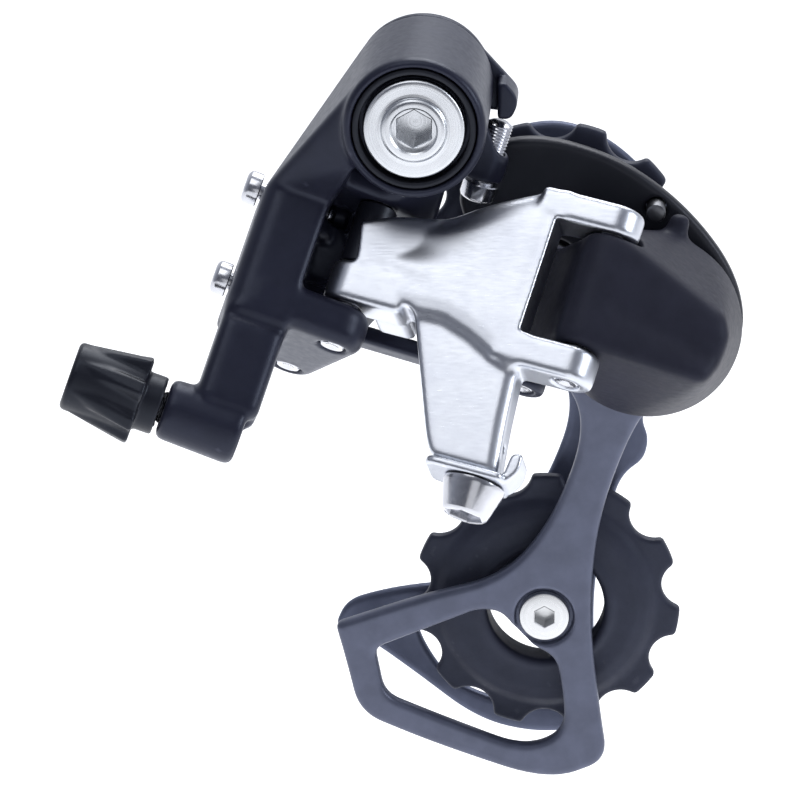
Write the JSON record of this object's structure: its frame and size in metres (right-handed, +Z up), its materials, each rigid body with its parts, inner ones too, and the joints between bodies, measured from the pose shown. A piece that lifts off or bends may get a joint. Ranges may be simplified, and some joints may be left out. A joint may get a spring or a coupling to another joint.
{
  "type": "rear bicycle derailleur",
  "caption": "Slant-parallelogram rear bicycle derailleur with a sprung short cage, toothed chain pulleys, barrel adjuster and limit screws.",
  "frame": {"origin": "on the hanger bolt's axis, in the plane where the part meets the bicycle's hanger", "axes": "+X forwards along the bicycle, +Y inboard towards the wheel along the hanger bolt, +Z up"},
  "size_m": [0.1011, 0.0657, 0.1262],
  "materials": {
    "black_knuckle": "black satin anodised",
    "black_resin": "moulded black",
    "silver_link": "fine satin silver",
    "cage_plate": "dark blue-grey satin anodised",
    "polished_steel": "turned and polished",
    "spring_steel": "drawn wire",
    "pulley": "moulded dark grey with fine grain",
    "seal": "matt black"
  },
  "bodies": {
    "hanger_mount": {"b_bolt": "polished_steel", "b_circlip": "spring_steel", "b_stop_plate": "black_knuckle"},
    "b_knuckle": {"b_knuckle": "black_knuckle", "b_bushing": "black_resin", "b_seal_ring": "seal", "b_spring": "spring_steel", "adjuster_spring": "spring_steel", "link_pin_outer_b": "polished_steel", "link_pin_inner_b": "polished_steel"},
    "b_screw": {"b_screw": "polished_steel"},
    "high_limit_screw": {"high_limit_screw": "polished_steel"},
    "low_limit_screw": {"low_limit_screw": "polished_steel"},
    "cable_adjuster": {"adjuster_knob": "black_resin", "adjuster_core": "polished_steel"},
    "outer_link": {"outer_link": "silver_link", "link_bushing_outer_b": "black_resin", "link_pin_outer_p": "polished_steel", "cable_clamp_plate": "silver_link", "return_spring": "spring_steel"},
    "cable_anchor_bolt": {"cable_anchor_bolt": "polished_steel"},
    "inner_link": {"inner_link": "black_knuckle", "link_pin_inner_p": "polished_steel"},
    "p_knuckle": {"p_knuckle": "black_knuckle", "p_bushing": "black_resin", "p_spring": "spring_steel"},
    "cage": {"cage_outer_plate": "cage_plate", "cage_inner_plate": "cage_plate", "p_axle": "polished_steel", "p_seal_ring": "seal", "cage_stop_pin": "polished_steel", "guide_pulley_bushing": "polished_steel", "guide_cap_outer": "polished_steel", "guide_cap_inner": "polished_steel", "guide_pulley_bolt": "polished_steel", "tension_pulley_bushing": "polished_steel", "tension_cap_outer": "polished_steel", "tension_cap_inner": "polished_steel", "tension_pulley_bolt": "polished_steel"},
    "guide_pulley": {"guide_pulley": "pulley"},
    "tension_pulley": {"tension_pulley": "pulley"}
  },
  "joints": [
    {"name": "b_pivot", "type": "hinge", "parent": "hanger_mount", "child": "b_knuckle", "pos_m": [0, 0, 0], "axis": [0, 1, 0], "range_deg": [0, 35], "stiffness_Nm_per_rad": 0.6, "springref_deg": -57.3},
    {"name": "link_swing", "type": "hinge", "parent": "b_knuckle", "child": "outer_link", "pos_m": [-0.00722, -0.01799, -0.01942], "axis": [0.2707, 0.5736, 0.7731], "range_deg": [0, 62], "stiffness_Nm_per_rad": 0.25, "springref_deg": -85.94, "deforming": ["return_spring"]},
    {"name": "inner_link_swing", "type": "hinge", "parent": "b_knuckle", "child": "inner_link", "pos_m": [-0.01507, -0.00284, -0.02791], "axis": [0.2707, 0.5736, 0.7731], "range_deg": [0, 62]},
    {"name": "p_knuckle_swing", "type": "hinge", "parent": "outer_link", "child": "p_knuckle", "pos_m": [0.02681, -0.0263, -0.02517], "axis": [0.2707, 0.5736, 0.7731], "range_deg": [-62, 0]},
    {"name": "cage_pivot", "type": "hinge", "parent": "p_knuckle", "child": "cage", "pos_m": [0.0346, 0, -0.0375], "axis": [0, -1, 0], "range_deg": [0, 100], "stiffness_Nm_per_rad": 0.1, "springref_deg": -114.59},
    {"name": "guide_pulley_spin", "type": "hinge", "parent": "cage", "child": "guide_pulley", "pos_m": [0.0195, 0.0089, -0.0303], "axis": [0, 1, 0], "continuous": true},
    {"name": "tension_pulley_spin", "type": "hinge", "parent": "cage", "child": "tension_pulley", "pos_m": [0.019, 0.0089, -0.0881], "axis": [0, 1, 0], "continuous": true},
    {"name": "cable_adjuster_turn", "type": "hinge", "parent": "b_knuckle", "child": "cable_adjuster", "pos_m": [-0.04523, -0.03853, -0.03718], "axis": [0.9438, 0, -0.3305], "continuous": true},
    {"name": "high_limit_turn", "type": "hinge", "parent": "b_knuckle", "child": "high_limit_screw", "pos_m": [-0.01906, -0.01054, -0.01692], "axis": [0.9438, 0, -0.3305], "continuous": true},
    {"name": "low_limit_turn", "type": "hinge", "parent": "b_knuckle", "child": "low_limit_screw", "pos_m": [-0.02312, -0.01914, -0.02852], "axis": [0.9438, 0, -0.3305], "continuous": true},
    {"name": "b_screw_turn", "type": "hinge", "parent": "b_knuckle", "child": "b_screw", "pos_m": [0.01195, -0.0042, -0.0053], "axis": [-0.2907, 0, -0.9568], "continuous": true},
    {"name": "cable_anchor_turn", "type": "hinge", "parent": "outer_link", "child": "cable_anchor_bolt", "pos_m": [0.00992, -0.04329, -0.04934], "axis": [0.2707, 0.5736, 0.7731], "continuous": true}
  ],
  "couplings": [
    {"joint": "inner_link_swing", "follows": "link_swing", "ratio": 1},
    {"joint": "p_knuckle_swing", "follows": "link_swing", "ratio": -1}
  ]
}
